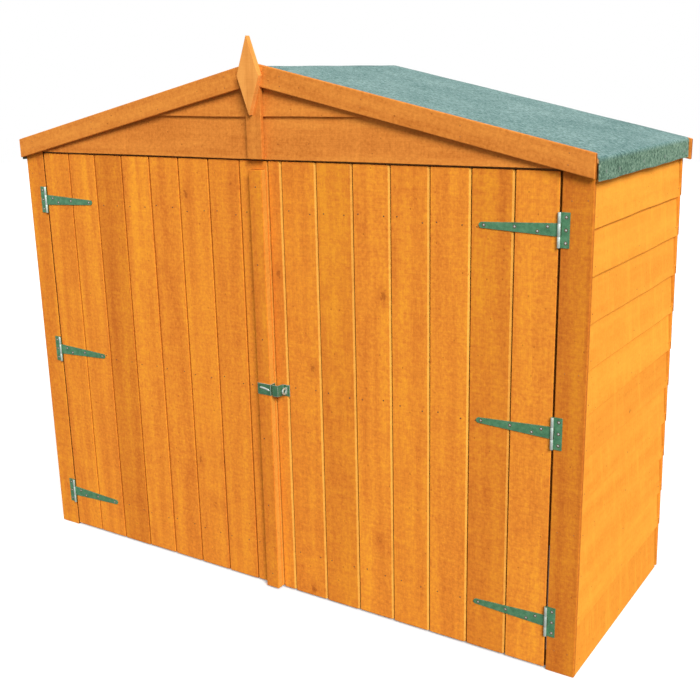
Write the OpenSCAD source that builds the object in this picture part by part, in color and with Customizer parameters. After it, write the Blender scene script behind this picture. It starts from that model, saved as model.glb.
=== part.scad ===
// Timber bike store: overlap-clad walls, a low gable roof under mineral felt,
// and a front made of two ledged and braced doors on tee hinges.
// The front faces -Y, +X is to the right, and Z = 0 is the ground.

/* [Store] */
// Width over the corner boards
width = 1830; // [1500:10:2200]
// Depth from the face of the corner boards to the back cladding
depth = 700; // [560:10:1100]
// Height of the side wall frames at their outer face
eaves_height = 1265; // [1000:5:1600]
// Pitch of both roof slopes in degrees
roof_pitch = 12.7; // [8:0.1:20]

/* [Walls] */
// Side of the square framing timber
frame_size = 28; // [22:1:38]
// Thickness of an overlap board
board_thick = 8; // [6:0.5:12]
// Height that each overlap board shows
board_show = 109; // [90:1:130]
// Height by which each board laps the one below
board_lap = 26; // [15:1:40]
// Height that the lowest board shows
first_board_show = 135; // [100:1:160]

/* [Front] */
// Width of each corner board beside the doors
corner_board_width = 74; // [60:1:100]
// Thickness of the corner boards
corner_board_thick = 12; // [9:1:18]
// Height of the front gable's lower edge below the eaves
gable_edge_drop = 20; // [14:1:22]
// Depth of the door head and of the tie across the back
head_depth = 20; // [18:1:40]
// Depth of the stop below the door head, rebated behind the doors' tops
stop_depth = 20; // [10:1:30]

/* [Doors] */
// Thickness of the door boards
door_board_thick = 12; // [9:1:18]
// Gap between a door and the corner board beside it
door_gap = 5; // [4:0.5:7]
// Gap between the doors and the door head, and behind them to its stop and the sill
stop_gap = 5; // [4:0.5:8]
// Height of the doors' lower edge above the ground
door_lift = 6; // [5:1:15]
// Gap between the two doors
meeting_gap = 5.5; // [5:0.5:8]
// Width of the cover strip on the left door
strip_width = 43; // [30:1:60]
// Thickness of the cover strip
strip_thick = 20; // [14:1:26]
// Height of bare door above the cover strip
strip_drop = 22; // [10:1:40]
// Height of a door ledge
ledge_height = 70; // [50:1:90]
// Thickness of the ledges and braces
ledge_thick = 20; // [16:1:28]
// Distance from a door's edge to the end of its ledges
ledge_inset = 24; // [15:1:40]
// Width of a brace, measured level
brace_width = 62; // [45:1:80]

/* [Hinges] */
// Height of the right door's lowest hinge above the ground
low_hinge = 137; // [110:1:200]
// Distance of the right door's top hinge below the eaves
top_hinge_drop = 154; // [120:1:220]
// Height of the middle hinges above the midpoint of the other two
middle_hinge_lift = 7; // [-40:1:40]
// Distance by which the left door's hinges are set lower than the right door's
left_hinge_sag = 13; // [-20:1:20]
// Height of a hinge plate on its corner board
plate_height = 80; // [60:1:100]
// Reach of a hinge plate from the pin
plate_reach = 24; // [18:1:34]
// Length of a strap from the pin to its tip
strap_length = 198; // [140:1:260]
// Height of a strap at the pin
strap_root = 30; // [24:1:38]
// Height of a strap at its round tip
strap_tip = 14; // [10:1:20]
// Thickness of the hinge metal
hinge_metal = 2.5; // [2:0.1:3]
// Outer diameter of the knuckles
knuckle_d = 8; // [7:0.5:10]
// Diameter of the hinge pins
pin_d = 4; // [3:0.5:5]

/* [Hasp and staple] */
// Height of the hasp's middle above the ground
hasp_height = 616; // [560:1:680]
// Height of the hasp plate
hasp_tall = 32; // [24:1:44]
// Thickness of the hasp and staple metal
hasp_metal = 2; // [1.5:0.1:3]
// Width of the keeper's raised tab on the right door
keeper_tab = 19; // [6:1:24]
// Run of the keeper's slope from its tab down to the door
keeper_slope = 4; // [3:1:20]
// Width of the keeper's foot on the door
keeper_foot = 22; // [18:1:34]
// Radius of the staple's eye for a padlock shackle
eye_r = 5.5; // [4:0.5:6]
// Thickness of the staple
staple_thick = 4; // [3:0.5:6]

/* [Roof] */
// Thickness of the roof deck
deck_thick = 11; // [8:1:18]
// Thickness of the mineral felt
felt_thick = 3; // [2:0.5:5]
// Reach of the roof deck past the side cladding
eaves_reach = 8; // [4:1:20]
// Depth of the eaves strips under the deck
eaves_strip_depth = 36; // [30:1:60]
// Length of felt that hangs below the eaves strips
felt_hang = 2; // [0:0.5:6]
// Depth of the ridge purlin
purlin_depth = 45; // [35:1:70]

/* [Bargeboards and finial] */
// Depth of a bargeboard, square to its slope
barge_depth = 54; // [40:1:62]
// Thickness of the bargeboards and of the finial's stem
barge_thick = 12; // [10:1:18]
// Reach of the front bargeboards past the corner boards
barge_reach = 5; // [0:1:15]
// Reach of the back bargeboards past the walls, a little more than the felt's
back_barge_reach = 18; // [12:1:25]
// Height of the front bargeboards above the felt
barge_upstand = 8; // [0:0.5:12]
// Depth of the back bargeboards' top edges below the felt
back_barge_drop = 2; // [0:0.5:6]
// Height of the diamond finial
finial_height = 198; // [140:1:260]
// Width of the diamond finial
finial_width = 70; // [50:1:100]
// Thickness of the diamond finial
finial_thick = 16; // [12:1:24]
// Height of the finial's centre below the top of the gable
finial_drop = 33; // [20:1:60]
// Width of the stem under the finial
stem_width = 50; // [36:1:64]

/* [Hidden] */
$fn = 48;

wood = "#d9842b";
pale_wood = "#c8955a";
green_zinc = "#4f7f63";
green_felt = "#5f8f86";

// Small gap between curved faces that turn past each other
turn_gap = 0.3;
// Running clearance of a strap's knuckle on its pin
pin_clear = 0.06;
// Gap between a knuckle and the leaf beside it
leaf_gap = 0.9;
half = width / 2;
fall = tan(roof_pitch);
upright = 1 / cos(roof_pitch);

// Cladding: each board leans out by this much at its lower edge
board_lean = board_thick * (board_show + board_lap) / board_show;
clad_depth = board_lean + board_thick;
frame_out = half - clad_depth;
frame_in = frame_out - frame_size;
post_in = half - corner_board_width;
front_frame = corner_board_thick;
front_frame_in = front_frame + frame_size;
back_frame = depth - clad_depth;
back_frame_in = back_frame - frame_size;
gable_front = front_frame - clad_depth;

// Gap under the roof deck for what carries it
seat_gap = 0.1;
// Height of the deck's underside, its top and the felt at a distance from the ridge
function under(x) = eaves_height + (frame_out - abs(x)) * fall;
function seat(x) = under(x) - seat_gap;
function deck_top(x) = under(x) + deck_thick * upright;
function felt_top(x) = deck_top(x) + felt_thick * upright;
function barge_top(x) = felt_top(x) + barge_upstand;

head_bottom = eaves_height - head_depth;
gable_edge = eaves_height - gable_edge_drop;
door_top = head_bottom - stop_gap;
door_edge = post_in - door_gap;
strip_right = strip_width / 2;
// The left door's boards stand past the strip by the thickness of the hasp's return
left_meet = strip_right + hasp_metal;
right_meet = left_meet + meeting_gap;
pin_x = post_in - door_gap / 2;
top_hinge = eaves_height - top_hinge_drop;
right_hinge_heights = [low_hinge, (low_hinge + top_hinge) / 2 + middle_hinge_lift, top_hinge];
left_hinge_heights = [for (z = right_hinge_heights) z - left_hinge_sag];
knuckle_r = knuckle_d / 2;
pin_y = -knuckle_r - turn_gap;
deck_edge = half + eaves_reach;
side_top = seat(half);
strip_bottom = under(deck_edge) - eaves_strip_depth;
barge_front = gable_front - barge_thick;
finial_front = barge_front - finial_thick;
// The origin is under the middle of the whole store
mid_y = (finial_front + depth + barge_thick) / 2;

module placed() { translate([0, -mid_y, 0]) children(); }
// Carries an X-Z outline from y0 to y1
module along_y(y0, y1) { translate([0, y1, 0]) rotate([90, 0, 0]) linear_extrude(y1 - y0) children(); }
// Carries a Y-Z outline from x0 to x1
module along_x(x0, x1) { translate([x0, 0, 0]) rotate([90, 0, 90]) linear_extrude(x1 - x0) children(); }
module block(low, high) { translate(low) cube(high - low); }
module both_sides() { children(); mirror([1, 0, 0]) children(); }
module left() { mirror([1, 0, 0]) children(); }

// Overlap cladding, as outlines of [reach from the frame, height]
min_board = board_lap * 2;
function board_bottoms(low, first_show, top) =
  [low, each [for (z = low + first_show; z < top - min_board; z = z + board_show) z]];
function board_heights(bottoms, top) =
  let (last = len(bottoms) - 1)
  [for (i = [0:last]) (i < last ? bottoms[i + 1] + board_lap : top) - bottoms[i]];
function board_inner(z, low, tall) = board_lean * (1 - (z - low) / tall);
function cladding_outline(low, first_show, top) =
  let (bottoms = board_bottoms(low, first_show, top), tall = board_heights(bottoms, top))
  let (last = len(bottoms) - 1)
  concat(
    [for (i = [0:last]) let (end = i < last ? bottoms[i + 1] : top)
      each [[clad_depth, bottoms[i]], [board_inner(end, bottoms[i], tall[i]) + board_thick, end]]],
    [for (i = [last:-1:0]) let (head = bottoms[i] + tall[i])
      each i < last ? [[board_inner(head, bottoms[i + 1], tall[i + 1]), head], [0, head]] : [[0, head]]],
    [[board_lean, low]]);
function reach_of_top_board(z) =
  let (bottoms = board_bottoms(0, first_board_show, side_top), low = bottoms[len(bottoms) - 1])
  board_inner(z, low, side_top - low) + board_thick;

// Outline of everything under one gable, from a level edge up to the deck
module gable_outline(low, reach) {
  polygon([[-reach, low], [reach, low], [reach, seat(reach)], [0, seat(0)], [-reach, seat(reach)]]);
}

// Frames
module post(x0, x1, y0, y1) {
  along_y(y0, y1) polygon([[x0, 0], [x1, 0], [x1, seat(x1)], [x0, seat(x0)]]);
}
module front_posts() { color(pale_wood) both_sides() post(post_in, frame_out, front_frame, front_frame_in); }
module back_posts() { color(pale_wood) both_sides() post(frame_in, frame_out, back_frame_in, back_frame); }
module side_bottom_rail() {
  color(pale_wood) block([frame_in, front_frame_in, 0], [frame_out, back_frame_in, frame_size]);
}
module side_top_rail() {
  color(pale_wood) along_y(front_frame_in, back_frame_in)
    polygon([[frame_in, head_bottom], [frame_out, head_bottom],
             [frame_out, seat(frame_out)], [frame_in, seat(frame_in)]]);
}
module back_bottom_rail() {
  color(pale_wood) block([-frame_in, back_frame_in, 0], [frame_in, back_frame, frame_size]);
}
module back_tie() {
  color(pale_wood) block([-frame_in, back_frame_in, head_bottom], [frame_in, back_frame, eaves_height]);
}
module side_studs() {
  middle = (front_frame_in + back_frame_in) / 2;
  color(pale_wood) both_sides()
    block([frame_in, middle - frame_size / 2, frame_size], [frame_out, middle + frame_size / 2, head_bottom]);
}
module back_studs() {
  color(pale_wood) for (x = [-frame_in / 3, frame_in / 3])
    block([x - frame_size / 2, back_frame_in, frame_size], [x + frame_size / 2, back_frame, head_bottom]);
}
module door_head() {
  stop_front = door_board_thick + stop_gap;
  stop_bottom = head_bottom - stop_depth;
  color(pale_wood) along_x(-post_in, post_in)
    polygon([[front_frame, head_bottom], [front_frame, eaves_height], [front_frame_in, eaves_height],
             [front_frame_in, stop_bottom], [stop_front, stop_bottom], [stop_front, head_bottom]]);
}
module front_sill() {
  front = door_board_thick + stop_gap;
  color(pale_wood) block([-post_in, front, 0], [post_in, front_frame_in + stop_gap, frame_size]);
}
module rafter(outer, y0, y1) {
  r = frame_size / 2;
  foot = frame_out - frame_size * upright / fall;
  color(pale_wood) along_y(y0, y1)
    polygon([[r, seat(r)], [r, under(r) - frame_size * upright],
             [foot, eaves_height], [outer, eaves_height], [outer, seat(outer)]]);
}
module front_rafters() { both_sides() rafter(post_in, front_frame, front_frame_in); }
module back_rafters() { both_sides() rafter(frame_in, back_frame_in, back_frame); }
module ridge_purlin() {
  r = frame_size / 2;
  color(pale_wood) along_y(front_frame, back_frame)
    polygon([[-r, seat(r)], [-r, seat(r) - purlin_depth],
             [r, seat(r) - purlin_depth], [r, seat(r)], [0, seat(0)]]);
}

// Boards
module corner_board() { color(wood) block([post_in, 0, 0], [half, front_frame, gable_edge]); }
module side_cladding() {
  color(wood) along_y(front_frame, back_frame) translate([frame_out, 0])
    polygon(cladding_outline(0, first_board_show, side_top));
}
module back_cladding() {
  color(wood) intersection() {
    along_x(-half, half) translate([back_frame, 0]) polygon(cladding_outline(0, first_board_show, under(0)));
    along_y(back_frame, depth) gable_outline(0, half);
  }
}
module front_gable_cladding() {
  color(wood) intersection() {
    along_x(-frame_out, frame_out) translate([front_frame, 0]) mirror([1, 0])
      polygon(cladding_outline(gable_edge, board_show, under(0)));
    along_y(gable_front, front_frame) gable_outline(gable_edge, frame_out);
  }
}

// Roof
module roof_deck() {
  color(pale_wood) along_y(gable_front, depth)
    polygon([[0, under(0)], [deck_edge, under(deck_edge)],
             [deck_edge, deck_top(deck_edge)], [0, deck_top(0)]]);
}
module eaves_strips() {
  strip_in = frame_out + reach_of_top_board(strip_bottom) + turn_gap;
  color(pale_wood) both_sides() along_y(front_frame, back_frame)
    polygon([[strip_in, strip_bottom], [deck_edge, strip_bottom],
             [deck_edge, seat(deck_edge)], [strip_in, seat(strip_in)]]);
}
module roof_felt() {
  low = strip_bottom - felt_hang;
  skin = deck_edge + felt_thick;
  outer = [[skin, low], [skin, felt_top(skin)], [0, felt_top(0)], [-skin, felt_top(skin)], [-skin, low]];
  fold = deck_top(deck_edge);
  inner = [[-deck_edge, low], [-deck_edge, fold], [0, deck_top(0)], [deck_edge, fold], [deck_edge, low]];
  color(green_felt) along_y(gable_front, depth) polygon(concat(outer, inner));
}
module bargeboard(y0, top, end) {
  drop = barge_depth * upright;
  low = top - end * fall;
  color(wood) along_y(y0, y0 + barge_thick)
    polygon([[0, top], [0, top - drop], [end, low - drop], [end, low]]);
}
module front_bargeboard() { bargeboard(barge_front, barge_top(0), half + barge_reach); }
module back_bargeboard() { bargeboard(depth, felt_top(0) - back_barge_drop, half + back_barge_reach); }
module finial_stem() {
  r = stem_width / 2;
  drop = barge_depth * upright;
  shoulder = barge_top(r) - drop;
  color(wood) along_y(barge_front, gable_front)
    polygon([[-r, gable_edge], [r, gable_edge], [r, shoulder], [0, barge_top(0) - drop], [-r, shoulder]]);
}
module finial() {
  middle = barge_top(0) - finial_drop;
  r = finial_width / 2;
  tall = finial_height / 2;
  color(wood) along_y(finial_front, barge_front)
    polygon([[0, middle - tall], [r, middle], [0, middle + tall], [-r, middle]]);
}

// Tee hinges, drawn for the right door
module knuckle(z0, z1) { translate([pin_x, pin_y, z0]) cylinder(d = knuckle_d, h = z1 - z0); }
module hinge_plate(z) {
  color(green_zinc) {
    block([pin_x + knuckle_r + leaf_gap, -hinge_metal, z - plate_height / 2],
          [pin_x + plate_reach, 0, z + plate_height / 2]);
    for (s = [-1, 1]) {
      near = z + s * (strap_root / 2 + turn_gap);
      far = z + s * plate_height / 2;
      knuckle(min(near, far), max(near, far));
      block([pin_x, -hinge_metal, min(near, far)], [pin_x + knuckle_r + leaf_gap, 0, max(near, far)]);
    }
    translate([pin_x, pin_y, z - plate_height / 2]) cylinder(d = pin_d, h = plate_height);
  }
}
module hinge_strap(z) {
  tip_r = strap_tip / 2;
  tip_x = pin_x - strap_length + tip_r;
  root_x = pin_x - knuckle_r - leaf_gap;
  r = strap_root / 2;
  color(green_zinc) difference() {
    union() {
      knuckle(z - r, z + r);
      block([root_x, -hinge_metal, z - r], [pin_x, 0, z + r]);
      along_y(-hinge_metal, 0)
        polygon([[tip_x, z - tip_r], [root_x, z - r], [root_x, z + r], [tip_x, z + tip_r]]);
      translate([tip_x, 0, z]) rotate([90, 0, 0]) cylinder(r = tip_r, h = hinge_metal);
    }
    translate([pin_x, pin_y, z - strap_root]) cylinder(d = pin_d + 2 * pin_clear, h = 2 * strap_root);
  }
}

// Doors, from the meeting edge out to the hinged edge
module door_boards(meet) { color(wood) block([meet, 0, door_lift], [door_edge, door_board_thick, door_top]); }
module door_ledges(meet, heights) {
  color(wood) for (z = heights)
    block([meet + ledge_inset, door_board_thick, z - ledge_height / 2],
          [door_edge - ledge_inset, door_board_thick + ledge_thick, z + ledge_height / 2]);
}
module door_braces(meet, heights) {
  outer = door_edge - ledge_inset - brace_width;
  inner = meet + ledge_inset + brace_width;
  color(wood) for (i = [0, 1]) {
    low = heights[i] + ledge_height / 2;
    high = heights[i + 1] - ledge_height / 2;
    along_y(door_board_thick, door_board_thick + ledge_thick)
      polygon([[outer, low], [outer + brace_width, low], [inner, high], [inner - brace_width, high]]);
  }
}
module cover_strip() {
  color(wood) block([-strip_right, -strip_thick, door_lift], [strip_right, 0, door_top - strip_drop]);
}
// The hasp lies on the cover strip and is bent back along its side
module hasp() {
  low = hasp_height - hasp_tall / 2;
  high = hasp_height + hasp_tall / 2;
  color(green_zinc) {
    block([-strip_right, -strip_thick - hasp_metal, low], [left_meet, -strip_thick, high]);
    block([strip_right, -strip_thick, low], [left_meet, 0, high]);
  }
}
// The keeper stands level with the hasp on the right door and carries the padlock staple
module hasp_keeper() {
  low = hasp_height - hasp_tall / 2;
  face = -strip_thick - hasp_metal;
  tab_end = right_meet + keeper_tab;
  foot = tab_end + keeper_slope;
  foot_end = foot + keeper_foot;
  staple_x = foot + (keeper_foot - staple_thick) / 2;
  eye_y = -hasp_metal - eye_r - staple_thick;
  color(green_zinc) {
    translate([0, 0, low]) linear_extrude(hasp_tall)
      polygon([[right_meet, face], [tab_end, face], [foot, -hasp_metal],
               [foot_end, -hasp_metal], [foot_end, 0], [foot - hasp_metal, 0],
               [tab_end - hasp_metal, face + hasp_metal], [right_meet, face + hasp_metal]]);
    difference() {
      union() {
        translate([staple_x, eye_y, hasp_height]) rotate([0, 90, 0])
          cylinder(r = eye_r + staple_thick, h = staple_thick);
        block([staple_x, eye_y, hasp_height - eye_r - staple_thick],
              [staple_x + staple_thick, -hasp_metal, hasp_height + eye_r + staple_thick]);
      }
      translate([staple_x - staple_thick, eye_y, hasp_height]) rotate([0, 90, 0])
        cylinder(r = eye_r, h = 3 * staple_thick);
    }
  }
}

placed() front_posts();
placed() back_posts();
placed() left() side_bottom_rail();  // left_bottom_rail
placed() side_bottom_rail();  // right_bottom_rail
placed() back_bottom_rail();
placed() left() side_top_rail();  // left_top_rail
placed() side_top_rail();  // right_top_rail
placed() back_tie();
placed() side_studs();
placed() back_studs();
placed() door_head();
placed() front_sill();
placed() front_rafters();
placed() back_rafters();
placed() ridge_purlin();
placed() left() corner_board();  // left_corner_board
placed() corner_board();  // right_corner_board
placed() left() side_cladding();  // left_side_cladding
placed() side_cladding();  // right_side_cladding
placed() back_cladding();
placed() front_gable_cladding();
placed() left() roof_deck();  // left_roof_deck
placed() roof_deck();  // right_roof_deck
placed() eaves_strips();
placed() roof_felt();
placed() left() front_bargeboard();  // front_left_bargeboard
placed() front_bargeboard();  // front_right_bargeboard
placed() left() back_bargeboard();  // back_left_bargeboard
placed() back_bargeboard();  // back_right_bargeboard
placed() finial_stem();
placed() finial();
placed() left() for (z = left_hinge_heights) hinge_plate(z);  // left_hinge_plates
placed() for (z = right_hinge_heights) hinge_plate(z);  // right_hinge_plates
placed() left() door_boards(-left_meet);  // left_door_boards
placed() left() door_ledges(-left_meet, left_hinge_heights);  // left_door_ledges
placed() left() door_braces(-left_meet, left_hinge_heights);  // left_door_braces
placed() left() for (z = left_hinge_heights) hinge_strap(z);  // left_hinge_straps
placed() cover_strip();
placed() hasp();
placed() door_boards(right_meet);  // right_door_boards
placed() door_ledges(right_meet, right_hinge_heights);  // right_door_ledges
placed() door_braces(right_meet, right_hinge_heights);  // right_door_braces
placed() for (z = right_hinge_heights) hinge_strap(z);  // right_hinge_straps
placed() hasp_keeper();
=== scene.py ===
# %% [markdown]
# This lesson dresses a timber bike store: a shallow shed with two wide doors, overlap boards and a felted
# roof. The construction model already has every piece in its place, so it is loaded first and stays the
# measure of everything made here. The dressed store may not grow past it.

# %% Load the construction model
import math
import bpy
import numpy as np
from mathutils import Matrix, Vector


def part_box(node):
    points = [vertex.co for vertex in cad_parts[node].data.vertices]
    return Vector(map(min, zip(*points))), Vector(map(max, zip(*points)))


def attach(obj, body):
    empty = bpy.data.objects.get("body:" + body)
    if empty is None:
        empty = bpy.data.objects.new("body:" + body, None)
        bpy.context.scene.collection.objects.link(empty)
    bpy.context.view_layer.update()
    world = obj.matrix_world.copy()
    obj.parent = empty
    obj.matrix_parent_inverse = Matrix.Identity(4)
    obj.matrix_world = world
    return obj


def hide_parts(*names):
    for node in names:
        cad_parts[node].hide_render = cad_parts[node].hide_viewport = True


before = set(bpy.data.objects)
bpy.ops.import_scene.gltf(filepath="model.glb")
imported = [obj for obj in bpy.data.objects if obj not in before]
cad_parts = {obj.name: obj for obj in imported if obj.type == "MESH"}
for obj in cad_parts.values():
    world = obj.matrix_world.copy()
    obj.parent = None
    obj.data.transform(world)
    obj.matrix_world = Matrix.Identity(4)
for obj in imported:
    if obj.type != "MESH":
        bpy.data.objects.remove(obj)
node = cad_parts
scene = bpy.context.scene
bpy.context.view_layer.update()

# %% [markdown]
# The store was photographed from its right front corner, a little above the eaves. A camera can be aimed by
# eye, or worked out from where many points of the store lie in the photograph. Here it was worked out. A
# plain lens can't follow the photograph's slight bulge, so the picture lies a few pixels off, and more at
# the far end of the roof.

# %% Camera
def turned(right, up, backward, place):
    """The matrix of a thing whose own axes point along three given directions, standing at a place."""
    matrix = np.eye(4)
    matrix[:3] = np.column_stack([right, up, backward, place])
    return Matrix(matrix.tolist())


def looking(azimuth, elevation, roll):
    """Right, up and backward directions of a camera that looks azimuth degrees to the left of +Y and
    elevation degrees downward, and is then rolled about its own line of sight."""
    az, el, ro = np.radians([azimuth, elevation, roll])
    forward = np.array([-np.sin(az) * np.cos(el), np.cos(az) * np.cos(el), -np.sin(el)])
    level = np.cross(forward, [0, 0, 1])
    level /= np.linalg.norm(level)
    right = np.cos(ro) * level + np.sin(ro) * np.cross(level, forward)
    return right, np.cross(right, forward), -forward


front = float(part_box("left_corner_board")[0][1])
camera = bpy.data.objects.new("camera", bpy.data.cameras.new("camera"))
scene.collection.objects.link(camera)
scene.camera = camera
camera.data.sensor_width = 36
camera.data.lens = 51.72
eye = [1.6611, front - 2.1254, 1.4523]
camera.matrix_world = turned(*looking(azimuth=33.13, elevation=15.27, roll=-1.17), eye)
print("camera at", [round(v, 3) for v in camera.matrix_world.translation])

# %% [markdown]
# A finish is worked out by small steps of arithmetic on what a point of the surface knows about itself.
# Nodes for every sum would bury the idea, so one small class lets a wire be added and multiplied like a
# number. Everything else a finish needs, such as noise, comes from one method that adds any kind of node.

# %% Arithmetic for finishes
class Wire:
    """One socket of a finish. An expression on wires and numbers, in either order, adds its Math nodes."""

    def __init__(self, socket):
        self.socket = socket

    @staticmethod
    def node(tree, kind, settings=None, values=None, out=0):
        """Adds a node: its settings first, a ramp's stops among them, then the values or wires of its
        sockets."""
        new = tree.nodes.new(kind)
        settings = dict(settings or {})
        stops = settings.pop("stops", [])
        for _ in stops[2:]:
            new.color_ramp.elements.new(1.0)
        for element, (place, colour) in zip(new.color_ramp.elements if stops else [], stops):
            element.position = place
            element.color = (*colour, 1.0)
        for key, value in settings.items():
            setattr(new, key, value)
        for key, value in (values or {}).items():
            if isinstance(value, Wire):
                tree.links.new(value.socket, new.inputs[key])
            else:
                new.inputs[key].default_value = value
        return Wire(new.outputs[out])

    def output(self, name):
        """Another output of the same node."""
        return Wire(self.socket.node.outputs[name])

    def math(self, operation, first, second=0.0):
        """A Math node on two values or wires."""
        tree = self.socket.id_data
        return Wire.node(tree, "ShaderNodeMath", {"operation": operation}, {0: first, 1: second})

    def __add__(self, other):
        return self.math("ADD", self, other)

    def __radd__(self, other):
        return self.math("ADD", other, self)

    def __sub__(self, other):
        return self.math("SUBTRACT", self, other)

    def __rsub__(self, other):
        return self.math("SUBTRACT", other, self)

    def __mul__(self, other):
        return self.math("MULTIPLY", self, other)

    def __rmul__(self, other):
        return self.math("MULTIPLY", other, self)

    def ease(self, low, high, to_low=0.0, to_high=1.0):
        """A smooth step from to_low to to_high while the value goes from low to high."""
        return Wire.node(self.socket.id_data, "ShaderNodeMapRange", {"interpolation_type": "SMOOTHSTEP"},
                         {0: self, 1: low, 2: high, 3: to_low, 4: to_high})


# %% [markdown]
# The photograph is a cut-out on white, with the sun high on the right: the right wall glows, the doors are
# a third darker, and the bargeboards throw a shadow that fades within a few millimetres. A large area lamp
# could give such a soft edge, but it lights near boards more than far ones. So both lamps are distant: a
# sun that is spread wide, as thin cloud spreads it, and a weak one behind that keeps the back from going
# black.

# %% Lamps
scene.view_settings.view_transform = "Standard"


def sunlight(name, toward, strength, spread):
    """A distant lamp in the given direction, with its spread in degrees."""
    lamp = bpy.data.objects.new(name, bpy.data.lights.new(name, "SUN"))
    scene.collection.objects.link(lamp)
    lamp.data.energy = strength
    lamp.data.angle = math.radians(spread)
    toward = np.array(toward) / np.linalg.norm(toward)
    sideways = np.cross([0, 0, 1], toward)
    sideways /= np.linalg.norm(sideways)
    lamp.matrix_world = turned(sideways, np.cross(toward, sideways), toward, [0, 0, 5])


sunlight("sun", toward=(0.70, -0.62, 0.62), strength=3.85, spread=25)
sunlight("open_sky_behind", toward=(-0.55, 0.75, 0.36), strength=1.2, spread=60)

# %% [markdown]
# A dim even sky fills the shadows. A sky bright enough for a white background would wash out the boards, so
# the camera, and whatever mirrors or passes light, sees plain white instead.

# %% Sky
SKY, WHITE = (0.42, 0.42, 0.42, 1), (1, 1, 1, 1)


def blend(tree, factor, first, second, way="MIX"):
    """Two colours mixed: the first where the factor is 0 and the second where it is 1."""
    return Wire.node(tree, "ShaderNodeMix", {"data_type": "RGBA", "blend_type": way},
                     {0: factor, 6: first, 7: second}, out=2)


scene.world = bpy.data.worlds.new("sky")
scene.world.use_nodes = True
tree = scene.world.node_tree
rays = Wire.node(tree, "ShaderNodeLightPath")
mirrored = rays.math("MAXIMUM", rays.output("Is Glossy Ray"), rays.output("Is Transmission Ray"))
seen = rays.math("MAXIMUM", rays, mirrored)
background = tree.nodes["Background"]
tree.links.new(blend(tree, seen, SKY, WHITE).socket, background.inputs["Color"])
print("sky lights with", SKY[:3], "and shows as", WHITE[:3])

# %% [markdown]
# The floor keeps the store's shadow. A plain white floor would match the background, but it would also
# brighten the walls from below. So this one is white to the camera and grey to the light.

# %% Floor
def new_finish(name, gloss=0.5):
    """A new material, its node tree and its surface shader."""
    finish = bpy.data.materials.new(name)
    finish.use_nodes = True
    shader = finish.node_tree.nodes["Principled BSDF"]
    shader.inputs["Specular IOR Level"].default_value = gloss
    return finish, finish.node_tree, shader


def feed(tree, shader, **wires):
    """Joins wires to a shader's sockets. A socket's name is written with _ for each space."""
    for name, wire in wires.items():
        tree.links.new(wire.socket, shader.inputs[name.replace("_", " ")])


floor_finish, tree, shader = new_finish("pale_floor", gloss=0.0)
shader.inputs["Roughness"].default_value = 1.0
rays = Wire.node(tree, "ShaderNodeLightPath")
FLOOR, DARK, GLOW = (0.22, 0.22, 0.22, 1), (0, 0, 0, 1), (0.12, 0.12, 0.12, 1)
feed(tree, shader, Base_Color=blend(tree, rays, FLOOR, WHITE),
     Emission_Color=blend(tree, rays, DARK, GLOW))
shader.inputs["Emission Strength"].default_value = 1.0
reach, level = 14.0, -0.0005
floor_corners = [(x * reach, y * reach, level) for x, y in ((-1, -1), (1, -1), (1, 1), (-1, 1))]
floor_mesh = bpy.data.meshes.new("floor")
floor_mesh.from_pydata(floor_corners, [], [(0, 1, 2, 3)])
floor_mesh.materials.append(floor_finish)
floor = bpy.data.objects.new("floor", floor_mesh)
scene.collection.objects.link(floor)
print("floor reaches", reach, "m each way")

# %% [markdown]
# Every board is rough-sawn softwood dipped in an orange-brown preservative. The dip hides most of the
# growth rings: what is left are soft lengthwise bands, blotches where it soaked in deeper, fine saw marks
# across the board, small knots and dark specks. Boards run in many directions, so each one carries its own
# map, in metres along the grain and metres around its section, and a number that differs from board to
# board.

# %% Nodes for timber
def vector(tree, x, y, z):
    """Three values as one place."""
    return Wire.node(tree, "ShaderNodeCombineXYZ", None, {0: x, 1: y, 2: z})


def noise(tree, place, scale=1.0, detail=2.0, rough=0.5):
    """Soft noise at a place, a half on average."""
    return Wire.node(tree, "ShaderNodeTexNoise", None,
                     {"Vector": place, "Scale": scale, "Detail": detail, "Roughness": rough})


def cells(tree, place, scale=1.0):
    """How far the nearest cell's middle is; each cell also has a colour."""
    return Wire.node(tree, "ShaderNodeTexVoronoi", None, {"Vector": place, "Scale": scale})


def red_of(tree, colour):
    """The red of a cell's colour, which serves as the cell's random number."""
    return Wire.node(tree, "ShaderNodeSeparateColor", None, {0: colour})


def ramp(tree, tone, *stops):
    """The colour that a tone has between stops of place and colour."""
    return Wire.node(tree, "ShaderNodeValToRGB", {"stops": stops}, {0: tone})


def bumped(tree, height, strength, distance):
    """The surface's normal, tilted by the slope of a height."""
    return Wire.node(tree, "ShaderNodeBump", None,
                     {"Strength": strength, "Distance": distance, "Height": height})


def opaque(colour):
    """A colour with an alpha of one."""
    return (*colour, 1.0)


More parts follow.
